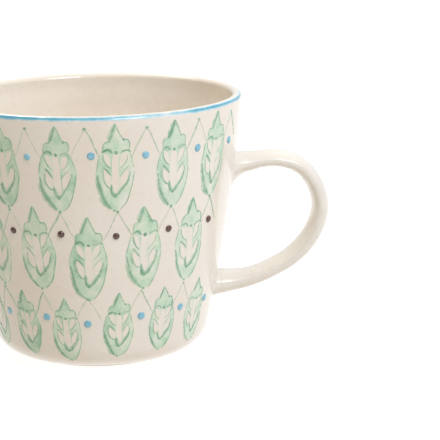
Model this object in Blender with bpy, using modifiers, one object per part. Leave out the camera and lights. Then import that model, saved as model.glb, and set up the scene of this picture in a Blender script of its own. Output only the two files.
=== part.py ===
"""Stoneware mug: a tapered cup on a turned foot, an ear-shaped strap handle luted on with
slip, a raised glaze line round the lip and three rows of raised glaze beads.

Metres, +Z up. The mug stands on z = 0 and its handle points along +X. The origin is the
centre of the whole mug's footprint box, so the cup's own axis stands at a negative x.
"""
import math

import bmesh
import bpy
from mathutils import Matrix, Vector, geometry

MM = 0.001

# Cup
RIM_RADIUS = 50.0 * MM
HEIGHT = 89.0 * MM
LIP_RADIUS = 1.7 * MM          # the lip is a half round, this is its radius
TAPER = 0.10                   # radius lost per height below the lip
BELLY = 0.85                   # and the part of it that grows with the square, per metre
WALL = 4.0 * MM                # thickness of the wall under the lip
FLOOR_TOP = 6.0 * MM           # height of the inside floor
CORNER_HEIGHT = 15.0 * MM      # where the inside corner runs into the wall
CORNER_FLAT = 18.0 * MM        # radius of the flat part of the floor
HEEL_TOP = 9.0 * MM            # where the rounded heel starts
FOOT_RADIUS = 26.0 * MM        # outer radius of the foot ring
FOOT_STEP = 0.7 * MM           # height of the step between heel and foot ring
FOOT_WIDTH = 4.5 * MM
FOOT_CHAMFER = 0.5 * MM
RECESS_HEIGHT = 1.8 * MM       # height of the underside inside the foot ring
TURNED_STEPS = 56

# Glaze line round the lip: a thin arc laid in a shallow rebate on the lip's outer edge
GAP = 0.3 * MM                 # clearance between pieces that meet
BAND_THICKNESS = 0.5 * MM
BAND_FROM, BAND_TO = 3.0, 57.0         # degrees above horizontal, round the lip's centre
REBATE_FROM, REBATE_TO = -12.0, 72.0

# Handle: its centre line in the XZ plane, (distance from the cup's axis, height)
HANDLE_PATH = [(45.0, 64.1), (54.0, 64.7), (62.0, 64.9), (69.4, 62.5), (74.8, 56.2),
               (76.9, 47.6), (74.1, 38.6), (67.8, 31.1), (59.4, 26.0), (50.0, 22.5), (37.5, 20.3)]
STRAP_THICKNESS = 5.2 * MM     # at the ends
STRAP_SWELL = 0.5 * MM         # more at the middle of the handle
STRAP_WIDTH = 14.0 * MM
ROOT_WIDENING = 5.0 * MM       # the strap is this much wider where it meets the cup
ROOT_WIDE_LENGTH = 5.0 * MM
UPPER_FLARE, UPPER_FLARE_LENGTH = 3.3 * MM, 6.0 * MM
LOWER_FLARE, LOWER_FLARE_LENGTH = 1.7 * MM, 10.9 * MM
UPPER_FLARE_SHIFT = 0.9        # how far each flare leans to the finger side, as a share of it
LOWER_FLARE_SHIFT = 0.7
HANDLE_SECTIONS = 40
SECTION_POINTS = 20

# Slip joints: pads of slip between the handle's two ends and the wall
SLIP_THICKNESS = 1.2 * MM
UPPER_SLIP = {"height": 61.0 * MM, "half_tall": 7.2 * MM, "half_wide": 10.0 * MM}
LOWER_SLIP = {"height": 21.6 * MM, "half_tall": 5.8 * MM, "half_wide": 10.0 * MM}
PAD_SQUARENESS = 0.35          # 1 is an ellipsoid, less has flatter faces

# Raised glaze beads, in columns that leave the handle's side of the cup plain
BEAD_RADIUS = 1.2 * MM
BEAD_HEIGHT = 0.9 * MM
COLUMN_PITCH = math.radians(23.0)
FIRST_COLUMN = math.radians(-25.0)     # angle from the handle, towards -Y
BEAD_ROWS = [("blue_bead_upper", 75.7 * MM, 14, 0.0),
             ("brown_bead", 49.9 * MM, 13, 0.5),
             ("blue_bead_lower", 20.6 * MM, 14, 0.0)]
# Beads that the hand set down off their places: distance along the wall and up it
STRAY_BEADS = {"blue_bead_upper_04": (1.7 * MM, 0.0), "blue_bead_lower_01": (-2.0 * MM, 0.0),
               "blue_bead_lower_04": (-2.0 * MM, -2.5 * MM)}

COLOURS = {
    "cup_glaze": ((0.83, 0.76, 0.68), 0.16),
    "handle_glaze": ((0.86, 0.80, 0.72), 0.16),
    "slip": ((0.80, 0.73, 0.65), 0.30),
    "rim_blue": ((0.30, 0.66, 0.78), 0.18),
    "bead_blue": ((0.10, 0.38, 0.66), 0.12),
    "bead_brown": ((0.09, 0.035, 0.02), 0.12),
}


def clear_scene():
    for obj in list(bpy.data.objects):
        bpy.data.objects.remove(obj, do_unlink=True)


def new_collection(name):
    collection = bpy.data.collections.new(name)
    bpy.context.scene.collection.children.link(collection)
    return collection


def new_material(name):
    colour, roughness = COLOURS[name]
    material = bpy.data.materials.new(name)
    material.use_nodes = True
    shader = material.node_tree.nodes["Principled BSDF"]
    shader.inputs["Base Color"].default_value = (*colour, 1.0)
    shader.inputs["Roughness"].default_value = roughness
    shader.inputs["Metallic"].default_value = 0.0
    return material


def add_object(name, mesh, collection, parent, material=None):
    obj = bpy.data.objects.new(name, mesh)
    obj.parent = parent
    collection.objects.link(obj)
    if material is not None and not mesh.materials:
        mesh.materials.append(material)
    return obj


def mesh_from(name, bm):
    mesh = bpy.data.meshes.new(name)
    bm.to_mesh(mesh)
    bm.free()
    return mesh


def wall_radius(z):
    """Outer radius of the cup's wall at height z."""
    drop = HEIGHT - LIP_RADIUS - z
    return RIM_RADIUS - TAPER * drop - BELLY * drop * drop


def curve_points(start, pull_start, pull_end, end, count):
    """Points of a cubic curve in the turning plane, both ends included."""
    corners = [Vector((r, 0.0, z)) for r, z in (start, pull_start, pull_end, end)]
    return [(p.x, p.z) for p in geometry.interpolate_bezier(*corners, count)]


def lip_arc(radius, from_degrees, to_degrees, count):
    """Points round the lip's centre, angles counted up from the outward side."""
    centre_r, centre_z = RIM_RADIUS - LIP_RADIUS, HEIGHT - LIP_RADIUS
    points = []
    for i in range(count):
        angle = math.radians(from_degrees + (to_degrees - from_degrees) * i / (count - 1))
        points.append((centre_r + radius * math.cos(angle), centre_z + radius * math.sin(angle)))
    return points


def wall_line(offset, from_z, to_z, count):
    """Points on the wall moved outwards by offset, from one height to another."""
    heights = [from_z + (to_z - from_z) * i / (count - 1) for i in range(count)]
    return [(wall_radius(z) + offset, z) for z in heights]


def turned_mesh(name, points, closed=False):
    """A profile in the XZ plane, as edges for a Screw modifier to turn."""
    bm = bmesh.new()
    verts = [bm.verts.new((r, 0.0, z)) for r, z in points]
    for a, b in zip(verts, verts[1:]):
        bm.edges.new((a, b))
    if closed:
        bm.edges.new((verts[-1], verts[0]))
    return mesh_from(name, bm)


def turn(obj):
    screw = obj.modifiers.new("turned", "SCREW")
    screw.axis = "Z"
    screw.angle = math.tau
    screw.steps = TURNED_STEPS
    screw.render_steps = TURNED_STEPS
    screw.use_merge_vertices = True
    screw.merge_threshold = 0.00001
    screw.use_smooth_shade = True
    return obj


def cup_profile():
    """From the inside floor's centre, up the inside, over the lip and down to the underside."""
    floor = [(0.0, FLOOR_TOP)]
    corner = curve_points((CORNER_FLAT, FLOOR_TOP), (CORNER_FLAT + 10.0 * MM, FLOOR_TOP),
                          (wall_radius(CORNER_HEIGHT) - WALL - 2.2 * MM, CORNER_HEIGHT - 8.0 * MM),
                          (wall_radius(CORNER_HEIGHT) - WALL, CORNER_HEIGHT), 7)
    inside = wall_line(-WALL, 30.0 * MM, HEIGHT - 9.0 * MM, 4)
    lip = lip_arc(LIP_RADIUS, 180.0, REBATE_TO, 6)
    rebate_radius = LIP_RADIUS - BAND_THICKNESS - GAP
    rebate = lip_arc(rebate_radius, REBATE_TO, REBATE_FROM, 5)
    under_band = lip_arc(LIP_RADIUS, REBATE_FROM, REBATE_FROM - 1.0, 2)[:1]
    outside = wall_line(0.0, HEIGHT - 5.0 * MM, HEEL_TOP, 7)
    heel = curve_points((wall_radius(HEEL_TOP), HEEL_TOP),
                        (wall_radius(HEEL_TOP) - 1.2 * MM, HEEL_TOP - 5.0 * MM),
                        (FOOT_RADIUS + 5.5 * MM, FOOT_STEP + 0.5 * MM),
                        (FOOT_RADIUS, FOOT_STEP), 8)[1:]
    foot_inner = FOOT_RADIUS - FOOT_WIDTH
    foot = [(FOOT_RADIUS - 0.2 * MM, FOOT_CHAMFER), (FOOT_RADIUS - FOOT_CHAMFER, 0.0),
            (foot_inner + FOOT_CHAMFER, 0.0), (foot_inner, FOOT_CHAMFER)]
    recess = [(foot_inner - 1.0 * MM, RECESS_HEIGHT), (0.0, RECESS_HEIGHT)]
    return floor + corner + inside + lip + rebate + under_band + outside + heel + foot + recess


def make_cup(collection, axis):
    mesh = turned_mesh("cup_body", cup_profile())
    return turn(add_object("cup_body", mesh, collection, axis, new_material("cup_glaze")))


def make_rim_band(collection, axis):
    outer = lip_arc(LIP_RADIUS, BAND_TO, BAND_FROM, 5)
    inner = lip_arc(LIP_RADIUS - BAND_THICKNESS, BAND_FROM, BAND_TO, 5)
    mesh = turned_mesh("rim_band", outer + inner, closed=True)
    return turn(add_object("rim_band", mesh, collection, axis, new_material("rim_blue")))


def smooth_path(points, count):
    """Evenly spaced points on a Catmull-Rom curve through the given ones, in the XZ plane."""
    knots = [Vector((x * MM, 0.0, z * MM)) for x, z in points]
    knots = [2 * knots[0] - knots[1], *knots, 2 * knots[-1] - knots[-2]]
    fine = []
    for before, start, end, after in zip(knots, knots[1:], knots[2:], knots[3:]):
        pull_start = start + (end - before) / 6
        pull_end = end - (after - start) / 6
        fine += geometry.interpolate_bezier(start, pull_start, pull_end, end, 24)[:-1]
    fine.append(knots[-2])
    lengths = [0.0]
    for a, b in zip(fine, fine[1:]):
        lengths.append(lengths[-1] + (b - a).length)
    path = []
    k = 0
    for i in range(count):
        wanted = lengths[-1] * i / (count - 1)
        while k < len(fine) - 2 and lengths[k + 1] < wanted:
            k += 1
        share = (wanted - lengths[k]) / (lengths[k + 1] - lengths[k])
        path.append(fine[k].lerp(fine[k + 1], share))
    return path, lengths[-1]


def strap_section(along, length):
    """Half thickness, half width and sideways shift of the strap at a distance along it."""
    left = length - along
    upper = UPPER_FLARE * math.exp(-(along / UPPER_FLARE_LENGTH) ** 2)
    lower = LOWER_FLARE * math.exp(-(left / LOWER_FLARE_LENGTH) ** 2)
    swell = STRAP_SWELL * math.sin(math.pi * along / length) ** 2
    wide = math.exp(-(along / ROOT_WIDE_LENGTH) ** 2) + math.exp(-(left / ROOT_WIDE_LENGTH) ** 2)
    half_thick = (STRAP_THICKNESS + swell) / 2 + upper + lower
    half_wide = (STRAP_WIDTH + ROOT_WIDENING * wide) / 2
    return half_thick, half_wide, -UPPER_FLARE_SHIFT * upper - LOWER_FLARE_SHIFT * lower


def handle_mesh():
    """A loft of ovals along the handle's path, run into the wall at both ends."""
    path, length = smooth_path(HANDLE_PATH, HANDLE_SECTIONS)
    bm = bmesh.new()
    rings = []
    for i, centre in enumerate(path):
        ahead = path[min(i + 1, len(path) - 1)] - path[max(i - 1, 0)]
        tangent = ahead.normalized()
        normal = Vector((-tangent.z, 0.0, tangent.x))
        half_thick, half_wide, shift = strap_section(length * i / (len(path) - 1), length)
        ring = []
        for j in range(SECTION_POINTS):
            angle = math.tau * j / SECTION_POINTS
            across = normal * (half_thick * math.cos(angle) + shift)
            ring.append(bm.verts.new(centre + across + Vector((0.0, half_wide * math.sin(angle), 0.0))))
        rings.append(ring)
    for ring, following in zip(rings, rings[1:]):
        for j in range(SECTION_POINTS):
            k = (j + 1) % SECTION_POINTS
            bm.faces.new((ring[j], ring[k], following[k], following[j]))
    bm.faces.new(reversed(rings[0]))
    bm.faces.new(rings[-1])
    bmesh.ops.recalc_face_normals(bm, faces=bm.faces)
    return mesh_from("handle", bm)


def make_handle(collection, cutters, axis):
    """The strap, with both ends cut to the wall's curve and clear of the slip pads."""
    handle = add_object("handle", handle_mesh(), collection, axis, new_material("handle_glaze"))
    handle.data.shade_smooth()
    clearance = GAP + SLIP_THICKNESS + GAP
    low, high = 8.0 * MM, 78.0 * MM
    outline = [(0.0, high), *wall_line(clearance, high, low, 9), (0.0, low)]
    cutter = turn(add_object("wall_cutter", turned_mesh("wall_cutter", outline), cutters, axis))
    cutter.hide_render = True
    cutter.display_type = "WIRE"
    cut = handle.modifiers.new("cut_to_wall", "BOOLEAN")
    cut.operation = "DIFFERENCE"
    cut.solver = "EXACT"
    cut.object = cutter
    return handle


def on_wall(angle, z, offset):
    """A point at an angle round the cup and a height, offset outwards from the wall."""
    radius = wall_radius(z) + offset
    return Vector((radius * math.cos(angle), radius * math.sin(angle), z))


def make_slip_pad(name, shape, collection, axis):
    """A flat oval pad bent to the wall, made from a sphere whose poles face in and out."""
    bm = bmesh.new()
    turned = Matrix.Rotation(math.pi / 2, 4, "Y")
    bmesh.ops.create_uvsphere(bm, u_segments=28, v_segments=14, radius=1.0, matrix=turned)
    for vert in bm.verts:
        reach = math.hypot(vert.co.y, vert.co.z)
        spread = reach ** PAD_SQUARENESS / reach if reach > 1e-6 else 0.0
        depth = math.copysign(abs(vert.co.x) ** PAD_SQUARENESS, vert.co.x) if reach < 1.0 else 0.0
        z = shape["height"] + vert.co.z * spread * shape["half_tall"]
        angle = vert.co.y * spread * shape["half_wide"] / wall_radius(shape["height"])
        vert.co = on_wall(angle, z, GAP + SLIP_THICKNESS * (1.0 + depth) / 2)
    mesh = mesh_from(name, bm)
    mesh.shade_smooth()
    return add_object(name, mesh, collection, axis, new_material("slip"))


def bead_mesh():
    """A flattened bead whose axis is X and whose back is at x = 0."""
    bm = bmesh.new()
    turned = Matrix.Rotation(math.pi / 2, 4, "Y")
    bmesh.ops.create_uvsphere(bm, u_segments=12, v_segments=6, radius=1.0, matrix=turned)
    for vert in bm.verts:
        vert.co.x = (vert.co.x + 1.0) * BEAD_HEIGHT / 2
        vert.co.y *= BEAD_RADIUS
        vert.co.z *= BEAD_RADIUS
    mesh = mesh_from("bead", bm)
    mesh.shade_smooth()
    return mesh


def make_beads(collection, axis):
    for name, height, count, half_steps in BEAD_ROWS:
        mesh = bead_mesh()
        mesh.materials.append(new_material("bead_brown" if "brown" in name else "bead_blue"))
        for i in range(count):
            bead = add_object(f"{name}_{i + 1:02d}", mesh, collection, axis)
            along, up = STRAY_BEADS.get(bead.name, (0.0, 0.0))
            z = height + up
            angle = FIRST_COLUMN - COLUMN_PITCH * (i + half_steps) + along / wall_radius(z)
            bead.location = on_wall(angle, z, GAP)
            bead.rotation_euler = (0.0, math.atan(TAPER + 2 * BELLY * (HEIGHT - LIP_RADIUS - z)), angle)


def main():
    clear_scene()
    parts = new_collection("stoneware_mug")
    cutters = new_collection("cutters")
    axis = bpy.data.objects.new("cup_axis", None)
    parts.objects.link(axis)
    make_cup(parts, axis)
    make_rim_band(parts, axis)
    handle = make_handle(parts, cutters, axis)
    make_slip_pad("upper_slip_joint", UPPER_SLIP, parts, axis)
    make_slip_pad("lower_slip_joint", LOWER_SLIP, parts, axis)
    make_beads(parts, axis)
    handle_reach = max(vert.co.x for vert in handle.data.vertices)
    axis.location.x = -(handle_reach - RIM_RADIUS) / 2


main()
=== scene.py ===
"""Looks of the stoneware mug: glazed cup and handle, bare foot ring, a blue line on the lip,
stamped leaf motifs in green wash with darker brush lines, chevrons and raised glaze beads.
"""
import math
import random

import bmesh
import bpy
from mathutils import Matrix, Vector, geometry, noise


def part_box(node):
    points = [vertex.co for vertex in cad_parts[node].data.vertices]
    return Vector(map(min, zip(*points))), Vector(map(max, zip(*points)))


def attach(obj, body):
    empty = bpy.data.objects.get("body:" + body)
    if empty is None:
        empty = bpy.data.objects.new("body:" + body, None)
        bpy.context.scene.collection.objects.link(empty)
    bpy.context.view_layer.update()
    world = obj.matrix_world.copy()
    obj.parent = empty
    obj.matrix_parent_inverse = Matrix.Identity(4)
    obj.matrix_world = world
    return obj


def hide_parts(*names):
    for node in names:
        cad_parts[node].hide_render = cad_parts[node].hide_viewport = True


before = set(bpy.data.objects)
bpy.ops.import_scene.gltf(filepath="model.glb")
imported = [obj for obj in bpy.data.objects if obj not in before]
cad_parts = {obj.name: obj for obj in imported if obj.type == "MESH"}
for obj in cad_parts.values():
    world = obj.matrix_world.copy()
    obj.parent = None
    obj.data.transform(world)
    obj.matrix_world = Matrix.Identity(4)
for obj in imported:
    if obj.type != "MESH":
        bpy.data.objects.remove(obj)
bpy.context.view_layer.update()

MM = 0.001

# The cup's frame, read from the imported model
CUP_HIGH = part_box("cup_body")[1]
BAND_LOW, BAND_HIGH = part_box("rim_band")
AXIS_X = (BAND_LOW.x + BAND_HIGH.x) / 2
RIM_RADIUS = (BAND_HIGH.x - BAND_LOW.x) / 2
HEIGHT = CUP_HIGH.z

# Cup profile. Down from the lip, the outer radius shrinks by TAPER times the drop and BELLY times
# its square
LIP_RADIUS = 1.7 * MM
TAPER = 0.10
BELLY = 0.85
WALL = 4.0 * MM
FLOOR_TOP = 6.0 * MM
CORNER_HEIGHT = 15.0 * MM      # where the inner corner ends on the wall
CORNER_FLAT = 18.0 * MM        # radius at which it starts on the floor
INNER_WALL_FROM = 22.0 * MM
SHOULDER_DROP = 12.0 * MM      # the wall thins towards the lip from this far below it
HEEL_TOP = 9.0 * MM
HEEL_POINTS = 40
FOOT_RADIUS = 26.0 * MM
FOOT_STEP = 0.7 * MM           # height of the glaze's edge over the table
FOOT_WIDTH = 4.5 * MM
FOOT_EDGE = 0.5 * MM           # radius of the ring's edges
FOOT_INSET = 0.03 * MM         # how far the bare ring lies inside the glaze's edge
FOOT_TUCK = 0.1 * MM           # how far it reaches up into the glaze
RECESS_HEIGHT = 1.8 * MM
SEGMENTS = 240

# Unevenness of the thrown wall, which fades out towards the lip and the foot
WAVE_DEPTH, WAVE_HEIGHT, WAVES_PER_RADIAN = 0.09 * MM, 24.0 * MM, 2.0
WAVE_LIP_CLEAR, WAVE_LIP_FADE, WAVE_FOOT_FADE = 4.0 * MM, 12.0 * MM, 10.0 * MM

# Blue line on the lip: height over the glaze, edges in degrees up round the lip and how far each
# strays, painted depth and its clouds, and the place round the cup, in degrees, where it is painted
# paler as a painted highlight. The line reaches far up the lip and fades to near white at its edges;
# its upper part is partly a painted highlight on the lip's top
LIP_LINE_LIFT = 0.05 * MM
LIP_LINE_LOW, LIP_LINE_HIGH = 0.0, 72.0
LIP_LINE_LOW_STRAY, LIP_LINE_HIGH_STRAY = 4.0, 5.0
LIP_LINE_DEPTH, LIP_LINE_CLOUDS = 0.95, 0.30
GLINT_PLACE, GLINT_SPREAD, GLINT_PALING = 290.0, 16.0, 0.45
LIP_LINE_MIDDLE, LIP_LINE_SPREAD = 0.52, 0.24    # where across the line the colour gathers

# Handle: centre line as (distance from the cup's axis, height) in mm, and its section
HANDLE_PATH = [(45.0, 64.1), (54.0, 64.7), (62.0, 64.9), (69.4, 62.5), (74.8, 56.2),
               (76.9, 47.6), (74.1, 38.6), (67.8, 31.1), (59.4, 26.0), (50.0, 22.5), (37.5, 20.3)]
STRAP_THICKNESS = 5.2 * MM
STRAP_SWELL = 0.5 * MM
STRAP_WIDTH = 14.0 * MM
STRAP_UNEVENNESS = 0.012
PATH_STEP = 0.3 * MM
# What the strap gains at its roots, each with the length over which it fades: width, and half
# thickness above and below. The shifts are the shares of it that move the section fingerwards
ROOT_WIDENING, ROOT_WIDE_LENGTH = 5.0 * MM, 5.0 * MM
UPPER_FLARE, UPPER_FLARE_LENGTH = 3.3 * MM, 6.0 * MM
LOWER_FLARE, LOWER_FLARE_LENGTH = 1.7 * MM, 10.9 * MM
UPPER_FLARE_SHIFT, LOWER_FLARE_SHIFT = 0.9, 0.7
SECTION_SQUARENESS = 0.92      # 1 is an oval, less is nearer a rounded rectangle
SECTION_POINTS = 48
HANDLE_STEPS = 240
# Where the strap ends, off the wall, and how far its fillet spreads on the outer and finger sides
UPPER_ROOT = {"stand_off": 5.6 * MM, "outer": 0.5 * MM, "finger": 6.6 * MM}
LOWER_ROOT = {"stand_off": 2.6 * MM, "outer": 0.4 * MM, "finger": 1.4 * MM}
FILLET_STEPS = 14
FILLET_LIFT = 0.15 * MM        # how high the fillet's curve is pulled over the wall
FILLET_HEM = 0.2 * MM          # how far its sunk edge runs on
LONGEST_FILLET = 20.0 * MM     # the wall is looked for this far from the strap's end
SUNK = 0.06 * MM               # how far a laid-on piece reaches into the wall

# Decoration: columns of motifs round the cup, counted from the handle towards -Y
COLUMN_PITCH = math.radians(23.0)
FIRST_COLUMN = math.radians(-25.0)
WASH_LIFT = 0.05 * MM
LINE_LIFT = 0.13 * MM
HEAVY_LINE = 0.65              # lines stronger than this have a pale, wider edge
HALO = 2.1                     # width of that edge, as a multiple of the line
HALO_LIFT = 0.6 * LINE_LIFT
GREEN_SEED, BEAD_SEED = 11, 5

# Brush lines: how much width and depth vary, share of the width at the tips and how fast it opens,
# and how much heavier the lines are on the side where the brush pressed
STROKE_BLOTS, STROKE_CLOUDS = 0.32, 0.22
STROKE_TIP, STROKE_OPENING = 0.45, 2.6
SIDE_WEIGHT = 0.38
DROP_UNEVENNESS = 0.09         # of the outline of spots and beads

# Errors of the hand with each stamp: lean in degrees, and in mm its place and the wobble of its
# lines, across and down
STAMP_LEAN = 0.7
STAMP_STRAY_ACROSS, STAMP_STRAY_DOWN = 0.25, 0.35
WOBBLE_ACROSS, WOBBLE_DOWN, WOBBLE_RATE = 0.55, 0.45, 0.16

# Painted depth of a motif's wash: range of its strength, clouds, tilt from side to side, and what it
# gains at the edges, within EDGE_REACH mm, and in the head, and loses in the web round the leaflets
WASH_STRENGTH = (0.26, 0.42)
WASH_CLOUDS, WASH_TILT = 0.30, 0.16
CLOUDS_ACROSS, CLOUDS_DOWN = 0.30, 0.17          # clouds to the mm
EDGE_REACH, EDGE_GAIN, EDGE_CLOUDS = 0.45, 0.10, 0.45
HEAD_END, HEAD_GAIN = 9.5, 0.08
WEB_END, WEB_HALF_WIDTH, WEB_LOSS = 23.0, 3.8, 0.10

# Leaf motif in mm, across from its middle (to the right) and down from its tip
LEAF_OUTLINE = [(0.0, 0.0), (0.9, 2.2), (1.6, 4.0), (2.2, 5.4), (3.9, 5.5), (4.4, 6.6), (4.4, 8.2),
                (4.5, 9.4), (5.0, 10.2), (5.7, 12.5), (6.2, 15.8), (6.1, 18.5), (5.5, 21.5),
                (4.4, 24.5), (2.7, 27.2), (0.9, 28.7), (0.0, 29.0), (-0.9, 28.7), (-2.7, 27.2),
                (-4.4, 24.5), (-5.5, 21.5), (-6.2, 18.0), (-6.3, 16.5), (-5.8, 13.0), (-5.0, 10.3),
                (-4.4, 9.3), (-4.3, 8.0), (-4.1, 6.6), (-3.3, 5.8), (-2.2, 5.8), (-1.6, 4.2),
                (-0.8, 2.2)]
LEAF_LENGTH = 29.0
LEAF_HALF_WIDTH = 6.0
OUTLINE_STEP = 0.6
WASH_SPACING = 0.9             # of the wash's mesh
STROKE_STEP = 0.45
STEM = [(-0.9, 10.6), (0.9, 10.6), (1.2, 16.0), (1.35, 19.0), (1.15, 21.6), (0.5, 23.3),
        (-0.4, 23.2), (-1.05, 21.6), (-1.3, 19.0), (-1.15, 16.0)]
UPPER_LEAFLET = [(3.8, 9.9), (3.9, 11.3), (2.9, 13.0), (1.6, 14.3), (1.5, 12.6), (2.2, 10.5)]
LOWER_LEAFLET = [(3.4, 15.1), (4.3, 16.5), (4.2, 18.8), (3.1, 20.7), (1.8, 21.2), (1.6, 18.6),
                 (2.2, 16.4)]

# Brush lines of the motif: points in mm, width in mm at both ends, strength of the colour
LEAF_LINES = [
    ([(-0.1, 0.3), (-0.9, 2.6), (-2.1, 5.7)], 0.6, 1.0, 0.95),
    ([(0.2, 0.6), (1.2, 3.0), (2.3, 5.3)], 0.4, 0.5, 0.6),
    ([(-2.1, 5.8), (-3.2, 5.8), (-4.0, 7.0), (-4.1, 8.6)], 0.4, 0.35, 0.5),
    ([(2.3, 5.5), (3.9, 5.6), (4.5, 7.0), (4.4, 8.7)], 0.5, 0.4, 0.6),
    ([(-4.3, 9.4), (-3.0, 8.7), (-2.0, 8.8), (-1.1, 9.9)], 0.7, 0.7, 0.85),
    ([(1.5, 9.9), (2.6, 9.2), (4.0, 8.9), (4.9, 9.6)], 0.5, 0.5, 0.7),
    ([(-3.9, 10.3), (-3.8, 11.8), (-2.8, 13.6), (-1.4, 14.8)], 0.4, 0.35, 0.65),
    ([(4.0, 10.4), (3.9, 11.8), (2.9, 13.5), (1.5, 14.8)], 0.35, 0.3, 0.5),
    ([(-4.0, 14.4), (-2.8, 15.4), (-1.4, 17.4)], 0.6, 0.3, 0.8),
    ([(-4.0, 15.8), (-4.0, 18.2), (-3.2, 20.3), (-1.9, 21.3), (-1.1, 20.9)], 0.35, 0.4, 0.6),
    ([(4.4, 14.0), (3.2, 15.2), (1.6, 17.6)], 0.3, 0.3, 0.5),
    ([(-1.2, 20.2), (-1.1, 22.2), (-0.5, 23.6), (0.4, 24.0)], 0.5, 1.15, 0.9),
    ([(0.0, 24.1), (1.2, 23.3), (2.4, 21.6), (3.9, 19.4), (4.7, 15.8)], 1.25, 0.35, 0.85),
    ([(-5.8, 17.0), (-5.2, 20.8), (-4.2, 23.6), (-2.9, 26.0), (-1.2, 28.0)], 0.65, 1.15, 0.8),
    ([(6.0, 16.0), (5.8, 19.0), (5.0, 22.6), (3.5, 26.1), (1.6, 28.4)], 0.35, 0.5, 0.6),
    ([(-5.0, 10.4), (-5.5, 12.8), (-6.0, 16.0)], 0.35, 0.35, 0.45),
    ([(4.9, 10.0), (5.4, 12.0), (5.8, 14.8)], 0.35, 0.3, 0.45),
]
LEAF_SPOTS = [((0.2, 9.8), 0.62, 1.0), ((2.6, 5.5), 0.42, 0.8), ((0.1, 24.0), 0.62, 0.95),
              ((-0.2, 28.7), 0.45, 0.8)]

# Rows of motifs: height of the tips, scale, columns it has, half steps from the first column
LEAF_ROWS = [(86.6 * MM, 1.0, range(0, 13), 0.5),
             (59.0 * MM, 1.0, range(1, 13), 0.0),
             (29.7 * MM, 0.80, range(0, 13), 0.5)]
CHEVRON_ROWS = [(85.5 * MM, 1.0, range(0, 14), 0.0),
                (57.6 * MM, 1.0, range(0, 13), 0.5),
                (29.5 * MM, 0.86, range(0, 14), 0.0)]
CHEVRON_REACH, CHEVRON_DROP = 4.8, 9.8
PRESSED_SHARE = 0.2            # of the chevrons' lines, which are wider and deeper
# Stamps that the hand set off their places: (row, column): mm across and down
STRAY_LEAVES = {(2, 3): (-0.5, 2.5), (3, 2): (1.0, 0.3), (3, 3): (-1.4, 2.0)}
STRAY_CHEVRONS = {(3, 3): (-1.4, 2.3)}
MISSED_CHEVRONS = {(3, 0)}

BLUE_BEAD = {"radius": 1.22 * MM, "height": 0.5 * MM}
BROWN_BEAD = {"radius": 1.18 * MM, "height": 0.8 * MM}
BEAD_STRAY = 0.25 * MM

# Colours in 0-255 display values: light, warm and shade of the creams, stops of (grain, colour) for
# bare clay, and stops of (painted depth, colour) for the coloured glazes
CUP_CREAM = [(243, 237, 226), (239, 230, 217), (226, 214, 198)]
# The handle's cream is the cup's glaze made darker: painted shade over the whole handle
HANDLE_CREAM_SHADED = [(240, 235, 226), (234, 227, 215), (223, 211, 196)]
IRON_SPECK = (170, 140, 108)
STONEWARE = [(0.3, (196, 178, 154)), (0.5, (216, 200, 178)), (0.72, (230, 217, 198))]
GREEN_WASH = [(0.0, (235, 235, 221)), (0.22, (216, 231, 209)), (0.5, (196, 223, 196)),
              (0.8, (164, 205, 174)), (1.0, (132, 184, 150))]
GREEN_LINE = [(0.0, (221, 225, 208)), (0.3, (192, 213, 188)), (0.65, (144, 189, 156)),
              (1.0, (110, 165, 131))]
# The blue line's palest stop, near white, is partly a painted highlight on the lip's top
RIM_BLUE_AND_HIGHLIGHT = [(0.0, (236, 241, 240)), (0.3, (186, 222, 232)), (0.6, (136, 202, 222)),
            (1.0, (84, 168, 200))]
BEAD_BLUE = [(0.0, (204, 228, 234)), (0.5, (142, 202, 220)), (1.0, (104, 172, 202))]
BEAD_BROWN = [(0.0, (142, 86, 60)), (0.45, (92, 49, 33)), (1.0, (60, 28, 17))]

# Floor: half its side in m, how far it lies under the mug, its grey and how strongly it glows
FLOOR_REACH, FLOOR_DROP = 8.0, 0.05 * MM
FLOOR_GREY, FLOOR_GLOW = 0.28, 0.85

# Softboxes aimed at the mug: name, place, side in m, power in W, colour
LIGHT_TARGET = Vector((0.0, 0.0, 0.05))
SOFTBOXES = [("key", (0.50, -0.86, 1.0), 0.6, 9.2, (0.82, 0.88, 1.0)),
             ("window", (-0.30, 0.42, 0.80), 0.3, 1.7, (1.0, 0.88, 0.76))]

# Camera: lens in mm, place in m and turns in degrees
CAMERA_LENS = 157.4
CAMERA_PLACE = Vector((AXIS_X, -0.650, 0.1872))
CAMERA_YAW, CAMERA_PITCH, CAMERA_ROLL = 3.70, 12.44, -0.92

# Light of the surroundings: how it grows along an axis of their direction, from, to, and its colour
SURROUNDINGS = [("Z", 0.0, 1.0, (0.98, 0.88, 0.74)),        # above
                ("Z", 0.0, -0.25, (0.78, 0.70, 0.61)),      # the table
                ("X", 0.0, 1.0, (0.32, 0.36, 0.42)),        # right
                ("Y", 0.5, 1.0, (0.72, 0.76, 0.80))]        # behind


# ---------------------------------------------------------------- curves and the wall

def cubic(start, pull_start, pull_end, end, count):
    """Points of a cubic curve in the turning plane, both ends included."""
    corners = [Vector((r, 0.0, z)) for r, z in (start, pull_start, pull_end, end)]
    return [(p.x, p.z) for p in geometry.interpolate_bezier(*corners, count)]


def wall_radius(z):
    """Radius of the outside of the cup above its heel."""
    drop = HEIGHT - LIP_RADIUS - z
    return RIM_RADIUS - TAPER * drop - BELLY * drop * drop


# Rounded heel, from the wall down and in to the foot
HEEL = cubic((wall_radius(HEEL_TOP), HEEL_TOP), (wall_radius(HEEL_TOP) - 1.2 * MM, HEEL_TOP - 5.0 * MM),
             (FOOT_RADIUS + 5.5 * MM, FOOT_STEP + 0.5 * MM), (FOOT_RADIUS, FOOT_STEP), HEEL_POINTS)


def outer_radius(z):
    """Radius of the outside of the cup, down through the rounded heel."""
    if z >= HEEL_TOP:
        return wall_radius(z)
    for (r_above, z_above), (r_below, z_below) in zip(HEEL, HEEL[1:]):
        if z_below <= z:
            return r_below + (r_above - r_below) * (z - z_below) / (z_above - z_below)
    return FOOT_RADIUS


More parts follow.
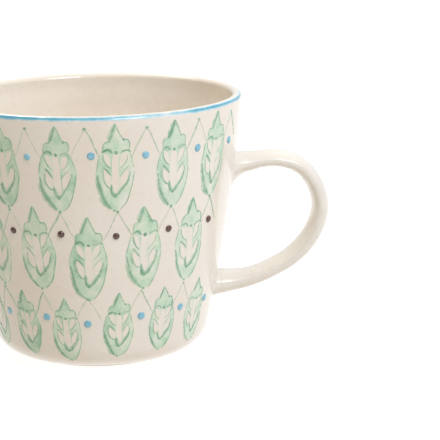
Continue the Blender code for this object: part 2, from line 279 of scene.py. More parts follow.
def wave(angle, z):
    """How far the glazed wall strays from a true turned surface; nothing at lip and foot."""
    off_lip = max(0.0, (HEIGHT - WAVE_LIP_CLEAR - z) / WAVE_LIP_FADE)
    off_foot = max(0.0, z / WAVE_FOOT_FADE)
    place = Vector((WAVES_PER_RADIAN * math.cos(angle), WAVES_PER_RADIAN * math.sin(angle),
                    z / WAVE_HEIGHT))
    return WAVE_DEPTH * min(1.0, off_lip, off_foot) * noise.noise(place)


def on_wall(angle, z, lift=0.0):
    """A point on the outside of the cup, lifted off it along the wall's normal."""
    step = 0.1 * MM
    lean = (outer_radius(z + step) - outer_radius(z - step)) / (2 * step)
    scale = lift / math.sqrt(1.0 + lean * lean)
    radius = outer_radius(z) + wave(angle, z) + scale
    return Vector((AXIS_X + radius * math.cos(angle), radius * math.sin(angle), z - scale * lean))


def spline(points, step, closed=False):
    """Points every step or so on a Catmull-Rom curve through 2D points."""
    knots = [Vector(p) for p in points]
    if closed:
        knots = [knots[-1], *knots, knots[0], knots[1]]
    else:
        knots = [2 * knots[0] - knots[1], *knots, 2 * knots[-1] - knots[-2]]
    fine = []
    for before, start, end, after in zip(knots, knots[1:], knots[2:], knots[3:]):
        pieces = max(1, round((end - start).length / step))
        for i in range(pieces):
            t = i / pieces
            a = -t + 2 * t * t - t ** 3
            b = 2 - 5 * t * t + 3 * t ** 3
            c = t + 4 * t * t - 3 * t ** 3
            d = t ** 3 - t * t
            fine.append((before * a + start * b + end * c + after * d) / 2)
    if not closed:
        fine.append(knots[-2])
    return fine


# ---------------------------------------------------------------- meshes and pieces

def finish_piece(name, bm, material, nodes=(), sharp=40.0):
    """Turns a bmesh into a smooth piece that rides the root; edges over sharp degrees stay hard."""
    bmesh.ops.recalc_face_normals(bm, faces=bm.faces)
    mesh = bpy.data.meshes.new(name)
    bm.to_mesh(mesh)
    bm.free()
    mesh.shade_smooth()
    mesh.set_sharp_from_angle(angle=math.radians(sharp))
    mesh.materials.append(material)
    obj = bpy.data.objects.new(name, mesh)
    bpy.context.scene.collection.objects.link(obj)
    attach(obj, "root")
    if nodes:
        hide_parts(*nodes)


def new_bmesh():
    """An empty mesh whose vertices carry the painted depth of their glaze."""
    bm = bmesh.new()
    bm.verts.layers.float.new("depth")
    return bm


def turned(profile, closed=False, shift=None):
    """A profile of (radius, height) turned about the cup's axis; radius 0 makes a pole."""
    bm = new_bmesh()
    rings = []
    for radius, z in profile:
        if radius < 1e-6:
            rings.append([bm.verts.new((AXIS_X, 0.0, z))] * SEGMENTS)
            continue
        ring = []
        for k in range(SEGMENTS):
            angle = math.tau * k / SEGMENTS
            r = radius + (shift(angle, radius, z) if shift else 0.0)
            ring.append(bm.verts.new((AXIS_X + r * math.cos(angle), r * math.sin(angle), z)))
        rings.append(ring)
    pairs = list(zip(rings, rings[1:]))
    if closed:
        pairs.append((rings[-1], rings[0]))
    for ring, following in pairs:
        for k in range(SEGMENTS):
            j = (k + 1) % SEGMENTS
            corners = dict.fromkeys((ring[k], ring[j], following[j], following[k]))
            bm.faces.new(list(corners))
    return bm


def bridge(bm, rings, cap_start=True, cap_end=True):
    """Quads between rings of the same number of vertices."""
    for ring, following in zip(rings, rings[1:]):
        for j in range(len(ring)):
            k = (j + 1) % len(ring)
            bm.faces.new((ring[j], ring[k], following[k], following[j]))
    if cap_start:
        bm.faces.new(list(reversed(rings[0])))
    if cap_end:
        bm.faces.new(rings[-1])


# ---------------------------------------------------------------- materials

def srgb(red, green, blue):
    """A colour given in 0-255 display values, as the linear colour a shader takes."""
    channels = []
    for value in (red, green, blue):
        share = value / 255
        channels.append(share / 12.92 if share <= 0.04045 else ((share + 0.055) / 1.055) ** 2.4)
    return (*channels, 1.0)


class Nodes:
    """Short hands for building one material's node tree."""

    def __init__(self, name):
        self.material = bpy.data.materials.new(name)
        self.material.use_nodes = True
        self.tree = self.material.node_tree
        self.shader = self.tree.nodes["Principled BSDF"]
        self.place = self.add("ShaderNodeTexCoord").outputs["Object"]

    def add(self, kind, **settings):
        node = self.tree.nodes.new(kind)
        for key, value in settings.items():
            setattr(node, key, value)
        return node

    def link(self, source, target):
        self.tree.links.new(source, target)

    def noise(self, scale, detail, roughness=0.5):
        node = self.add("ShaderNodeTexNoise")
        node.inputs["Scale"].default_value = scale
        node.inputs["Detail"].default_value = detail
        node.inputs["Roughness"].default_value = roughness
        self.link(self.place, node.inputs["Vector"])
        return node.outputs["Fac"]

    def spread(self, value, low, high, to_low=0.0, to_high=1.0):
        """The value, stretched from one range to another and held inside it."""
        node = self.add("ShaderNodeMapRange")
        self.link(value, node.inputs["Value"])
        limits = {"From Min": low, "From Max": high, "To Min": to_low, "To Max": to_high}
        for socket, number in limits.items():
            node.inputs[socket].default_value = number
        return node.outputs["Result"]

    def math(self, operation, first, second):
        node = self.add("ShaderNodeMath", operation=operation)
        for socket, value in zip(node.inputs, (first, second)):
            if isinstance(value, (int, float)):
                socket.default_value = value
            else:
                self.link(value, socket)
        return node.outputs[0]

    def mix(self, factor, first, second):
        """Colour between two, each a colour or another node's output."""
        node = self.add("ShaderNodeMix", data_type="RGBA")
        self.link(factor, node.inputs["Factor"])
        for socket, value in zip((node.inputs[6], node.inputs[7]), (first, second)):
            if isinstance(value, tuple):
                socket.default_value = value
            else:
                self.link(value, socket)
        return node.outputs[2]

    def ramp(self, value, stops):
        """Colour that follows a value through stops of (position, display colour)."""
        node = self.add("ShaderNodeValToRGB")
        elements = node.color_ramp.elements
        while len(elements) < len(stops):
            elements.new(0.5)
        for element, (position, colour) in zip(elements, stops):
            element.position = position
            element.color = srgb(*colour)
        self.link(value, node.inputs["Fac"])
        return node.outputs["Color"]

    def attribute(self, name):
        return self.add("ShaderNodeAttribute", attribute_name=name).outputs["Fac"]

    def bump(self, height, distance, strength):
        node = self.add("ShaderNodeBump")
        node.inputs["Distance"].default_value = distance
        node.inputs["Strength"].default_value = strength
        self.link(height, node.inputs["Height"])
        self.link(node.outputs["Normal"], self.shader.inputs["Normal"])

    def gloss(self, coat, coat_roughness):
        self.shader.inputs["Coat Weight"].default_value = coat
        self.shader.inputs["Coat Roughness"].default_value = coat_roughness
        self.shader.inputs["IOR"].default_value = 1.5


def clay_glaze(name, colours, roughness, coat_roughness):
    """Clear cream glaze over stoneware: soft blotches, faint iron specks, fine orange peel."""
    n = Nodes(name)
    light, warm, shade = [srgb(*colour) for colour in colours]
    blotches = n.spread(n.noise(scale=26.0, detail=3.0), low=0.36, high=0.66)
    base = n.mix(blotches, light, warm)
    grain = n.spread(n.noise(scale=420.0, detail=4.0, roughness=0.65), low=0.45, high=0.75)
    base = n.mix(n.math("MULTIPLY", grain, 0.28), base, shade)
    specks = n.spread(n.noise(scale=900.0, detail=1.0, roughness=0.4), low=0.735, high=0.80)
    base = n.mix(n.math("MULTIPLY", specks, 0.2), base, srgb(*IRON_SPECK))
    n.link(base, n.shader.inputs["Base Color"])
    patches = n.noise(scale=60.0, detail=4.0)
    matt = n.spread(patches, low=0.3, high=0.7, to_low=roughness, to_high=roughness + 0.09)
    n.link(matt, n.shader.inputs["Roughness"])
    ripples = n.noise(scale=160.0, detail=2.0)
    dimples = n.math("MULTIPLY", n.noise(scale=700.0, detail=2.0), 0.25)
    n.bump(n.math("ADD", ripples, dimples), distance=0.05 * MM, strength=0.6)
    n.gloss(coat=0.5, coat_roughness=coat_roughness)
    return n.material


def bare_clay(name):
    """Unglazed stoneware: sandy, matt and a little darker."""
    n = Nodes(name)
    sand = n.noise(scale=1500.0, detail=6.0, roughness=0.7)
    n.link(n.ramp(sand, STONEWARE), n.shader.inputs["Base Color"])
    n.shader.inputs["Roughness"].default_value = 0.85
    n.bump(sand, distance=0.12 * MM, strength=0.8)
    return n.material


def colour_glaze(name, stops, flow, fine, roughness, coat=0.6):
    """Coloured glaze whose colour follows the painted depth, broken up by watery noise.

    flow and fine are the scales of its clouds and of its grain.
    """
    n = Nodes(name)
    clouds = n.noise(flow, detail=4.0, roughness=0.6)
    cloud = n.spread(clouds, low=0.3, high=0.7, to_low=-0.24, to_high=0.24)
    grains = n.noise(fine, detail=3.0, roughness=0.6)
    grain = n.spread(grains, low=0.3, high=0.7, to_low=-0.10, to_high=0.10)
    depth = n.math("ADD", n.attribute("depth"), n.math("ADD", cloud, grain))
    n.link(n.ramp(depth, stops), n.shader.inputs["Base Color"])
    matt = n.spread(depth, low=0.0, high=1.0, to_low=roughness + 0.06, to_high=roughness)
    n.link(matt, n.shader.inputs["Roughness"])
    n.bump(n.noise(scale=520.0, detail=3.0), distance=0.04 * MM, strength=0.5)
    n.gloss(coat, coat_roughness=0.04)
    return n.material


# ---------------------------------------------------------------- cup, foot and lip line

def lip_arc(radius, from_degrees, to_degrees, count):
    """Profile points round the lip."""
    centre_r, centre_z = RIM_RADIUS - LIP_RADIUS, HEIGHT - LIP_RADIUS
    points = []
    for i in range(count):
        angle = math.radians(from_degrees + (to_degrees - from_degrees) * i / (count - 1))
        points.append((centre_r + radius * math.cos(angle), centre_z + radius * math.sin(angle)))
    return points


def wall_line(offset, from_z, to_z, count):
    """Profile points along the wall, moved out by the offset."""
    heights = [from_z + (to_z - from_z) * i / (count - 1) for i in range(count)]
    return [(wall_radius(z) + offset, z) for z in heights]


def make_cup(material):
    """The glazed cup: inside, lip, outside, heel and the recess within the foot ring."""
    corner_wall = wall_radius(CORNER_HEIGHT) - WALL
    lip = LIP_RADIUS - LIP_LINE_LIFT
    lip_wall, lip_level = RIM_RADIUS - LIP_RADIUS - lip, HEIGHT - LIP_RADIUS
    shoulder = HEIGHT - SHOULDER_DROP
    shoulder_pull = shoulder + SHOULDER_DROP / 2
    profile = [(0.0, FLOOR_TOP), (CORNER_FLAT / 2, FLOOR_TOP)]
    profile += cubic((CORNER_FLAT, FLOOR_TOP), (CORNER_FLAT + 10.0 * MM, FLOOR_TOP),
                     (corner_wall - 2.2 * MM, CORNER_HEIGHT - 8.0 * MM), (corner_wall, CORNER_HEIGHT), 20)
    profile += wall_line(-WALL, INNER_WALL_FROM, shoulder, 9)
    profile += cubic((wall_radius(shoulder) - WALL, shoulder),
                     (wall_radius(shoulder_pull) - WALL, shoulder_pull),
                     (lip_wall, lip_level - 4.0 * MM), (lip_wall, lip_level), 8)[1:]
    profile += lip_arc(lip, 180.0, -5.0, 30)[1:]
    profile += wall_line(0.0, lip_level - 2.0 * MM, HEEL_TOP, 36)
    profile += HEEL[1::2] + [HEEL[-1]]
    inner = FOOT_RADIUS - FOOT_WIDTH
    profile += [(inner - 0.2 * MM, FOOT_STEP), (inner - 1.0 * MM, RECESS_HEIGHT), (0.0, RECESS_HEIGHT)]

    def shift(angle, radius, z):
        outside = radius > wall_radius(z) - 0.5 * MM or z < HEEL_TOP
        return wave(angle, z) if outside and z > FOOT_STEP else 0.0

    finish_piece("cup_body_glazed", turned(profile, shift=shift), material, ["cup_body"])


def make_foot(material):
    """The bare ring that the mug stands on, with rounded edges."""
    inner, outer = FOOT_RADIUS - FOOT_WIDTH, FOOT_RADIUS - FOOT_INSET
    outside, inside = [], []
    for i in range(6):
        turn = math.pi / 2 * i / 5
        rise = FOOT_EDGE * (1.0 - math.sin(turn))
        side = FOOT_EDGE * (1.0 - math.cos(turn))
        outside.append((outer - side, rise))
        inside.append((inner + side, rise))
    top = FOOT_STEP + FOOT_TUCK
    profile = [(outer, top), *outside, *reversed(inside), (inner - FOOT_TUCK, top)]
    finish_piece("foot_ring_bare", turned(profile, closed=True), material)


def make_lip_line(material):
    """A thin raised line of blue on the lip's outer top edge, uneven in width and depth. It is painted paler
    at one place round the cup as a painted highlight, and its pale upper part is partly a painted highlight
    on the lip's top.
    """
    bm = new_bmesh()
    layer = bm.verts.layers.float["depth"]
    centre_r, centre_z = RIM_RADIUS - LIP_RADIUS, HEIGHT - LIP_RADIUS
    across, steps = 15, 480
    rings = []
    for k in range(steps):
        angle = math.tau * k / steps
        ring_place = Vector((math.cos(angle), math.sin(angle), 0.0))
        low = LIP_LINE_LOW + LIP_LINE_LOW_STRAY * noise.noise(ring_place * 5.0)
        high_stray = noise.noise(ring_place * 4.0 + Vector((7.0, 3.0, 1.0)))
        high = LIP_LINE_HIGH + LIP_LINE_HIGH_STRAY * high_stray
        # Painted highlight: round this place the line is painted paler
        thin = math.exp(-((math.degrees(angle) - GLINT_PLACE) / GLINT_SPREAD) ** 2)
        clouds = noise.noise(ring_place * 3.0 + Vector((0.0, 9.0, 2.0)))
        run = LIP_LINE_DEPTH + LIP_LINE_CLOUDS * clouds - GLINT_PALING * thin
        ring = []
        for i in range(across):
            t = i / (across - 1)
            turn = math.radians(low + (high - low) * t)
            crown = math.sin(math.pi * t)
            radius = LIP_RADIUS - LIP_LINE_LIFT + LIP_LINE_LIFT * crown ** 0.5
            if i in (0, across - 1):
                radius -= SUNK * 2
            r = centre_r + radius * math.cos(turn)
            vert = bm.verts.new((AXIS_X + r * math.cos(angle), r * math.sin(angle),
                                 centre_z + radius * math.sin(turn)))
            vert[layer] = run * math.exp(-((t - LIP_LINE_MIDDLE) / LIP_LINE_SPREAD) ** 2)
            ring.append(vert)
        rings.append(ring)
    rings.append(rings[0])
    bridge(bm, rings, cap_start=False, cap_end=False)
    finish_piece("lip_line_blue", bm, material, ["rim_band"])


# ---------------------------------------------------------------- handle

def strap_section(along, length):
    """Half thickness, half width and shift of the strap's section, so far along its line."""
    left = length - along
    upper = UPPER_FLARE * math.exp(-(along / UPPER_FLARE_LENGTH) ** 2)
    lower = LOWER_FLARE * math.exp(-(left / LOWER_FLARE_LENGTH) ** 2)
    swell = STRAP_SWELL * math.sin(math.pi * along / length) ** 2
    wide = math.exp(-(along / ROOT_WIDE_LENGTH) ** 2) + math.exp(-(left / ROOT_WIDE_LENGTH) ** 2)
    return ((STRAP_THICKNESS + swell) / 2 + upper + lower,
            (STRAP_WIDTH + ROOT_WIDENING * wide) / 2,
            -UPPER_FLARE_SHIFT * upper - LOWER_FLARE_SHIFT * lower)


def even_points(points, count):
    """The same line with evenly spaced points, and its length."""
    lengths = [0.0]
    for a, b in zip(points, points[1:]):
        lengths.append(lengths[-1] + (b - a).length)
    spaced = []
    k = 0
    for i in range(count):
        wanted = lengths[-1] * i / (count - 1)
        while k < len(points) - 2 and lengths[k + 1] < wanted:
            k += 1
        spaced.append(points[k].lerp(points[k + 1], (wanted - lengths[k]) / (lengths[k + 1] - lengths[k])))
    return spaced, lengths[-1]


def oval(turn):
    """Point of the strap's section, a slightly squared circle of radius 1."""
    thick, wide = math.cos(turn), math.sin(turn)
    return (math.copysign(abs(thick) ** SECTION_SQUARENESS, thick),
            math.copysign(abs(wide) ** SECTION_SQUARENESS, wide))


def handle_rings():
    """Rings of points along the strap between the two roots, with the direction of each."""
    fine = spline([(x * MM, z * MM) for x, z in HANDLE_PATH], PATH_STEP)
    path, length = even_points(fine, HANDLE_STEPS)
    rings = []
    for i, centre in enumerate(path):
        root = UPPER_ROOT if i < len(path) / 2 else LOWER_ROOT
        if centre.x - wall_radius(centre.y) < root["stand_off"]:
            continue
        ahead = path[min(i + 1, len(path) - 1)] - path[max(i - 1, 0)]
        tangent = Vector((ahead.x, 0.0, ahead.y)).normalized()
        normal = Vector((-tangent.z, 0.0, tangent.x))
        half_thick, half_wide, shift = strap_section(length * i / (len(path) - 1), length)
        middle = Vector((AXIS_X + centre.x, 0.0, centre.y))
        ring = []
        for j in range(SECTION_POINTS):
            turn = math.tau * j / SECTION_POINTS
            thick, wide = oval(turn)
            uneven = 1.0 + STRAP_UNEVENNESS * noise.noise(Vector((2 * thick, 2 * wide, i * 0.05)))
            ring.append(middle + normal * (half_thick * thick * uneven + shift)
                        + Vector((0.0, half_wide * wide * uneven, 0.0)))
        rings.append((ring, tangent))
    return rings


def wall_place(point):
    """Angle round the cup and height of a point."""
    return math.atan2(point.y, point.x - AXIS_X), point.z


def depth_in_wall(point):
    """How far a point lies inside the cup's outer surface; negative outside it."""
    angle, z = wall_place(point)
    return outer_radius(z) + wave(angle, z) - math.hypot(point.x - AXIS_X, point.y)


def root_fillet(ring, inward, root):
    """Rings that lead from the strap's end ring out onto the wall, ending just under its surface."""
    marks = []
    for point in ring:
        near, far = 0.0, LONGEST_FILLET
        for _ in range(30):
            half = (near + far) / 2
            if depth_in_wall(point + inward * half) < 0.0:
                near = half
            else:
                far = half
        marks.append(point + inward * near)
    middle_angle = sum(wall_place(m)[0] for m in marks) / len(marks)
    middle_z = sum(m.z for m in marks) / len(marks)
    rings = [[] for _ in range(FILLET_STEPS)]
    for j, (point, mark) in enumerate(zip(ring, marks)):
        angle, z = wall_place(mark)
        radius = outer_radius(z)
        away = Vector(((angle - middle_angle) * radius, z - middle_z)).normalized()
        share = (1.0 - math.cos(math.tau * j / SECTION_POINTS)) / 2
        reach = root["outer"] + (root["finger"] - root["outer"]) * share

        def spread(distance, lift):
            return on_wall(angle + away.x * distance / radius, z + away.y * distance, lift)

        pull = point.lerp(mark, 0.6)
        curve = geometry.interpolate_bezier(point, pull, spread(reach * 0.55, FILLET_LIFT),
                                            spread(reach, -SUNK / 2), FILLET_STEPS)
        for step, place in enumerate(curve):
            rings[step].append(place)
        rings[-1][j] = spread(reach + FILLET_HEM, -SUNK)
    return rings[1:]


def make_handle(material):
    """Handle and its slip joints as one glazed surface that grows out of the wall."""
    bm = new_bmesh()
    along = handle_rings()
    upper = root_fillet(along[0][0], -along[0][1], UPPER_ROOT)
    lower = root_fillet(along[-1][0], along[-1][1], LOWER_ROOT)
    places = upper[::-1] + [ring for ring, _ in along] + lower
    rings = [[bm.verts.new(place) for place in ring] for ring in places]
    bridge(bm, rings)
    finish_piece("handle_glazed", bm, material,
                 ["handle", "upper_slip_joint", "lower_slip_joint"], sharp=60.0)


# ---------------------------------------------------------------- painted decoration

def mirrored(points):
    """The same loop on the other side of the motif's middle."""
    return [(-x, y) for x, y in reversed(points)]


def inside_loop(point, loop):
    inside = False
    for a, b in zip(loop, loop[1:] + loop[:1]):
        if (a.y > point.y) != (b.y > point.y):
            if point.x < (b.x - a.x) * (point.y - a.y) / (b.y - a.y) + a.x:
                inside = not inside
    return inside


def edge_distance(point, loops):
    """Distance from a point to the nearest of the loops' edges."""
    nearest = math.inf
    for loop in loops:
        for a, b in zip(loop, loop[1:] + loop[:1]):
            closest, share = geometry.intersect_point_line(point.to_3d(), a.to_3d(), b.to_3d())
            if share < 0.0:
                closest = a.to_3d()
            elif share > 1.0:
                closest = b.to_3d()
            nearest = min(nearest, (point.to_3d() - closest).length)
    return nearest


def leaf_shape():
    """The wash of one motif, triangulated in the flat: points, edge distances and faces."""
    outline = spline(LEAF_OUTLINE, OUTLINE_STEP, closed=True)
    holes = [STEM, UPPER_LEAFLET, mirrored(UPPER_LEAFLET), LOWER_LEAFLET, mirrored(LOWER_LEAFLET)]
    loops = [outline] + [spline(hole, OUTLINE_STEP, closed=True) for hole in holes]

    def painted(point):
        return inside_loop(point, outline) and not any(inside_loop(point, h) for h in loops[1:])

    points, edges = [], []
    for loop in loops:
        first = len(points)
        points += loop
        edges += [(first + k, first + (k + 1) % len(loop)) for k in range(len(loop))]
    for row in range(int(LEAF_LENGTH / WASH_SPACING)):
        for column in range(-8, 9):
            point = Vector(((column + 0.5 * (row % 2)) * WASH_SPACING, (row + 0.5) * WASH_SPACING))
            if painted(point) and edge_distance(point, loops) > 0.4 * WASH_SPACING:
                points.append(point)
    flat, _, faces = geometry.delaunay_2d_cdt(points, edges, [], 0, 1e-5)[:3]
    kept = []
    for face in faces:
        middle = sum((flat[v] for v in face), Vector((0.0, 0.0))) / len(face)
        if painted(middle):
            kept.append(tuple(face))
    distances = [edge_distance(point, loops) for point in flat]
    return flat, distances, kept


def stamp_place(angle, top, scale, rng, stray):
    """A function from motif coordinates to the wall, with the small errors of hand work."""
    seed = rng.uniform(0.0, 50.0)
    lean = math.radians(rng.gauss(0.0, STAMP_LEAN))
    across = stray[0] + rng.gauss(0.0, STAMP_STRAY_ACROSS)
    down = stray[1] + rng.gauss(0.0, STAMP_STRAY_DOWN)

    def place(u, v, lift):
        sideways = noise.noise(Vector((u * WOBBLE_RATE, v * WOBBLE_RATE, seed)))
        lengthways = noise.noise(Vector((u * WOBBLE_RATE, v * WOBBLE_RATE, seed + 50.0)))
        u = (u + WOBBLE_ACROSS * sideways) * scale + across + v * lean
        v = (v + WOBBLE_DOWN * lengthways) * scale + down
        z = top - v * MM
        return on_wall(angle + u * MM / outer_radius(z), z, lift)

    return place


def add_wash(bm, shape, place, rng):
    """One motif's wash as a thin closed layer laid on the wall."""
    flat, distances, faces = shape
    layer = bm.verts.layers.float["depth"]
    tilt = rng.uniform(-1.0, 0.5)
    strength = rng.uniform(*WASH_STRENGTH)
    seed = rng.uniform(0.0, 90.0)
    upper, lower = [], []
    used = sorted({v for face in faces for v in face})
    index = {v: k for k, v in enumerate(used)}
    for v in used:
        u, down = flat[v]
        edge = math.exp(-distances[v] / EDGE_REACH)
        pooled = noise.noise(Vector((u * CLOUDS_ACROSS, down * CLOUDS_DOWN, seed)))
        depth = strength + WASH_CLOUDS * pooled + WASH_TILT * tilt * u / LEAF_HALF_WIDTH
        depth += edge * (EDGE_GAIN + EDGE_CLOUDS * pooled)
        if down < HEAD_END:
            depth += HEAD_GAIN
        elif down < WEB_END and abs(u) < WEB_HALF_WIDTH:
            depth -= WEB_LOSS
        for verts, lift in ((upper, WASH_LIFT * (1.0 - 0.5 * edge)), (lower, -SUNK)):
            vert = bm.verts.new(place(u, down, lift))
            vert[layer] = depth
            verts.append(vert)
    rim = {}
    for face in faces:
        corners = [index[v] for v in face]
        bm.faces.new([upper[c] for c in corners])
        bm.faces.new([lower[c] for c in reversed(corners)])
        for a, b in zip(corners, corners[1:] + corners[:1]):
            rim[(a, b)] = (b, a) not in rim
            if (b, a) in rim:
                rim[(b, a)] = False
    for (a, b), open_edge in rim.items():
        if open_edge:
            bm.faces.new((upper[b], upper[a], lower[a], lower[b]))


def add_stroke(bm, points, width_start, width_end, depth, place, rng, crown=LINE_LIFT):
    """One brush line: a low domed ribbon along a 2D curve in motif coordinates."""
    layer = bm.verts.layers.float["depth"]
    line = spline(points, STROKE_STEP)
    seed = rng.uniform(0.0, 90.0)
    section = [(-1.0, -SUNK), (-0.62, 0.72 * crown), (0.0, crown), (0.62, 0.72 * crown), (1.0, -SUNK)]
    rings = []
    for i, middle in enumerate(line):
        ahead = (line[min(i + 1, len(line) - 1)] - line[max(i - 1, 0)]).normalized()
        side = Vector((-ahead.y, ahead.x))
        t = i / (len(line) - 1)
        blot = 1.0 + STROKE_BLOTS * noise.noise(Vector((seed, i * 0.35, 0.0)))
        taper = min(1.0, STROKE_TIP + STROKE_OPENING * min(t, 1.0 - t))
        half = (width_start + (width_end - width_start) * t) / 2 * blot * taper
        tone = depth + STROKE_CLOUDS * noise.noise(Vector((seed, i * 0.3, 5.0)))
        ring = []
        for offset, lift in section:
            spot = middle + side * (offset * half)
            vert = bm.verts.new(place(spot.x, spot.y, lift))
            vert[layer] = tone
            ring.append(vert)
        rings.append(ring)
    bridge(bm, rings)


def add_dome(bm, place, centre, radius, height, depth, rng):
    """A round drop: rings that close to a top point; radius in the units that place takes."""
    layer = bm.verts.layers.float["depth"]
    seed = rng.uniform(0.0, 90.0)
    sides, levels, flatness = 28, 8, 0.8
    rings = []
    for level in range(levels):
        climb = math.pi / 2 * level / levels
        ring = []
        for k in range(sides):
            turn = math.tau * k / sides
            uneven = 1.0 + DROP_UNEVENNESS * noise.noise(Vector((math.cos(turn) + seed, math.sin(turn), 0.0)))
            reach = radius * uneven * math.cos(climb) ** flatness
            lift = height * math.sin(climb) if level else -SUNK
            vert = bm.verts.new(place(centre[0] + reach * math.cos(turn),
                                      centre[1] + reach * math.sin(turn), lift))
            vert[layer] = depth + 0.2 * math.cos(climb) ** 2
            ring.append(vert)
        rings.append(ring)
    top = bm.verts.new(place(centre[0], centre[1], height))
    top[layer] = depth
    bridge(bm, rings, cap_end=False)
    for k in range(sides):
        bm.faces.new((rings[-1][k], rings[-1][(k + 1) % sides], top))


def make_leaves(wash_material, line_material):
    """Rows of leaf motifs: a wash each, and brush lines that are heavier on one side."""
    rng = random.Random(GREEN_SEED)
    shape = leaf_shape()
    for row, (top, scale, columns, half_steps) in enumerate(LEAF_ROWS, start=1):
        wash, lines = new_bmesh(), new_bmesh()
        for column in columns:
            angle = FIRST_COLUMN - COLUMN_PITCH * (column + half_steps)
            place = stamp_place(angle, top, scale, rng, STRAY_LEAVES.get((row, column), (0.0, 0.0)))
            add_wash(wash, shape, place, rng)
            heavy_left = rng.uniform(-0.5, 1.0)
            for points, width_start, width_end, strength in LEAF_LINES:
                side = -points[0][0] - points[-1][0]
                pressed = 1.0 + SIDE_WEIGHT * heavy_left * math.copysign(1.0, side)
                weight = rng.uniform(0.9, 1.35) * pressed
                tone = strength * rng.uniform(0.75, 1.1)
                start, end = width_start * weight, width_end * weight
                if strength > HEAVY_LINE:
                    pale = tone * 0.45 - 0.05
                    add_stroke(lines, points, start * HALO, end * HALO, pale, place, rng, HALO_LIFT)
                add_stroke(lines, points, start, end, tone, place, rng)
            for centre, radius, strength in LEAF_SPOTS:
                add_dome(lines, place, centre, radius * rng.uniform(0.7, 1.1), LINE_LIFT * 1.3,
                         strength - 0.12, rng)
        finish_piece(f"leaf_wash_row_{row}", wash, wash_material, sharp=70.0)
        finish_piece(f"leaf_lines_row_{row}", lines, line_material, sharp=70.0)


def make_chevrons(material):
    """Rows of fine chevrons, two lines that spread down from a dot."""
    rng = random.Random(GREEN_SEED + 1)
    for row, (top, scale, columns, half_steps) in enumerate(CHEVRON_ROWS, start=1):
        bm = new_bmesh()
        for column in columns:
            if (row, column) in MISSED_CHEVRONS:
                continue
            angle = FIRST_COLUMN - COLUMN_PITCH * (column + half_steps)
            place = stamp_place(angle, top, scale, rng, STRAY_CHEVRONS.get((row, column), (0.0, 0.0)))
            for side in (-1.0, 1.0):
                drop = CHEVRON_DROP * rng.uniform(0.9, 1.08)
                bow = side * rng.uniform(-0.15, 0.25)
                points = [(side * 0.1, 0.2), (side * CHEVRON_REACH / 2 + bow, drop / 2),
                          (side * CHEVRON_REACH, drop)]
                pressed = 1.0 if rng.random() < PRESSED_SHARE else 0.0
                width_start = rng.uniform(0.46, 0.62) + 0.3 * pressed
                width_end = rng.uniform(0.34, 0.46)
                depth = rng.uniform(-0.02, 0.34) + 0.25 * pressed
                add_stroke(bm, points, width_start, width_end, depth, place, rng)
            dot, dot_depth = rng.uniform(0.32, 0.6), rng.uniform(0.5, 0.85)
            add_dome(bm, place, (0.0, 0.3), dot, LINE_LIFT, dot_depth, rng)
        finish_piece(f"chevrons_row_{row}", bm, material, sharp=70.0)


def make_beads(blue, brown):
    """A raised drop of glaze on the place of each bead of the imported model."""
    rng = random.Random(BEAD_SEED)
    rows = [("blue_beads_upper", "blue_bead_upper", BLUE_BEAD, blue, "blue_bead_glaze"),
            ("brown_beads", "brown_bead", BROWN_BEAD, brown, "brown_bead_glaze"),
            ("blue_beads_lower", "blue_bead_lower", BLUE_BEAD, blue, "blue_bead_glaze")]
    for name, node, bead, material, slot in rows:
        bm = new_bmesh()
        nodes = sorted(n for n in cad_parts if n.startswith(node + "_"))
        for cad_node in nodes:
            low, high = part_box(cad_node)
            angle, z = wall_place((low + high) / 2)

            def place(u, v, lift):
                height = z + v
                return on_wall(angle + u / outer_radius(height), height, lift)

            off = (rng.gauss(0.0, BEAD_STRAY), rng.gauss(0.0, BEAD_STRAY))
            add_dome(bm, place, off, bead["radius"] * rng.uniform(0.92, 1.06),
                     bead["height"] * rng.uniform(0.85, 1.1), rng.uniform(0.4, 0.7), rng)
        finish_piece(name, bm, material, nodes, sharp=70.0)


# ---------------------------------------------------------------- studio and camera

def make_floor():
    """A white floor that glows evenly and lets the light of the table below through to the mug."""
    bm = bmesh.new()
    bmesh.ops.create_grid(bm, x_segments=2, y_segments=2, size=FLOOR_REACH)
    mesh = bpy.data.meshes.new("floor")
    bm.to_mesh(mesh)
    bm.free()
    floor = bpy.data.objects.new("floor", mesh)
    floor.location.z = -FLOOR_DROP
    bpy.context.scene.collection.objects.link(floor)
    material = bpy.data.materials.new("floor_white")
    material.use_nodes = True
    shader = material.node_tree.nodes["Principled BSDF"]
    shader.inputs["Base Color"].default_value = (FLOOR_GREY, FLOOR_GREY, FLOOR_GREY, 1.0)
    shader.inputs["Roughness"].default_value = 0.9
    shader.inputs["Specular IOR Level"].default_value = 0.0
    shader.inputs["Emission Color"].default_value = (1.0, 1.0, 1.0, 1.0)
    shader.inputs["Emission Strength"].default_value = FLOOR_GLOW
    mesh.materials.append(material)
    floor.visible_diffuse = False
    floor.visible_shadow = False


def make_world():
    """Studio surroundings: a bright table below, and light from above, the right and behind."""
    world = bpy.data.worlds.new("studio")
    bpy.context.scene.world = world
    world.use_nodes = True
    tree = world.node_tree
    place = tree.nodes.new("ShaderNodeTexCoord")
    parts = tree.nodes.new("ShaderNodeSeparateXYZ")
    tree.links.new(place.outputs["Generated"], parts.inputs[0])
    total = None
    for axis, low, high, colour in SURROUNDINGS:
        share = tree.nodes.new("ShaderNodeMapRange")
        share.inputs["From Min"].default_value = low
        share.inputs["From Max"].default_value = high
        tree.links.new(parts.outputs[axis], share.inputs["Value"])
        light = tree.nodes.new("ShaderNodeVectorMath")
        light.operation = "MULTIPLY"
        light.inputs[1].default_value = colour
        tree.links.new(share.outputs["Result"], light.inputs[0])
        if total:
            both = tree.nodes.new("ShaderNodeVectorMath")
            tree.links.new(total, both.inputs[0])
            tree.links.new(light.outputs[0], both.inputs[1])
            total = both.outputs[0]
        else:
            total = light.outputs[0]
    tree.links.new(total, tree.nodes["Background"].inputs["Color"])


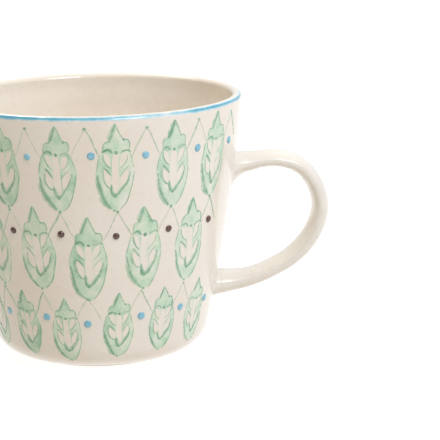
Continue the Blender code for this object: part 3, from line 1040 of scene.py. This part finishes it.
def add_softbox(name, location, size, watts, colour):
    """A square area light aimed at the mug."""
    light = bpy.data.lights.new(name, "AREA")
    light.size = size
    light.energy = watts
    light.color = colour
    lamp = bpy.data.objects.new(name, light)
    bpy.context.scene.collection.objects.link(lamp)
    lamp.location = location
    lamp.rotation_euler = (LIGHT_TARGET - Vector(location)).to_track_quat("-Z", "Y").to_euler()


def make_camera():
    """A long lens, looking a little down, with the handle on the right."""
    camera = bpy.data.cameras.new("camera")
    camera.sensor_width = 36.0
    camera.lens = CAMERA_LENS
    camera.clip_start = 0.01
    camera.clip_end = 50.0
    obj = bpy.data.objects.new("camera", camera)
    bpy.context.scene.collection.objects.link(obj)
    yaw = Matrix.Rotation(-math.radians(CAMERA_YAW), 4, "Z")
    pitch = Matrix.Rotation(math.pi / 2 - math.radians(CAMERA_PITCH), 4, "X")
    roll = Matrix.Rotation(math.radians(CAMERA_ROLL), 4, "Z")
    obj.matrix_world = Matrix.Translation(CAMERA_PLACE) @ yaw @ pitch @ roll
    bpy.context.scene.camera = obj


def main():
    cream = clay_glaze("cream_glaze", CUP_CREAM, roughness=0.13, coat_roughness=0.04)
    # The handle's darker cream is painted shade
    handle_cream_shaded = clay_glaze("cream_glaze_handle_shaded", HANDLE_CREAM_SHADED, roughness=0.26, coat_roughness=0.22)
    wash = colour_glaze("green_wash", GREEN_WASH, flow=260.0, fine=1100.0, roughness=0.16)
    line = colour_glaze("green_line", GREEN_LINE, flow=420.0, fine=1400.0, roughness=0.14)
    # The blue line's colours include a painted highlight on the lip
    rim_blue_and_highlight = colour_glaze("blue_line", RIM_BLUE_AND_HIGHLIGHT, flow=180.0, fine=900.0, roughness=0.10)
    bead_blue = colour_glaze("blue_bead", BEAD_BLUE, flow=500.0, fine=1500.0, roughness=0.10)
    bead_brown = colour_glaze("brown_bead", BEAD_BROWN, flow=600.0, fine=1700.0, roughness=0.08, coat=0.8)
    make_cup(cream)
    make_foot(bare_clay("bare_stoneware"))
    make_lip_line(rim_blue_and_highlight)
    make_handle(handle_cream_shaded)
    make_leaves(wash, line)
    make_chevrons(line)
    make_beads(bead_blue, bead_brown)
    make_floor()
    make_world()
    for softbox in SOFTBOXES:
        add_softbox(*softbox)
    make_camera()
    bpy.context.scene.view_settings.view_transform = "Standard"


main()
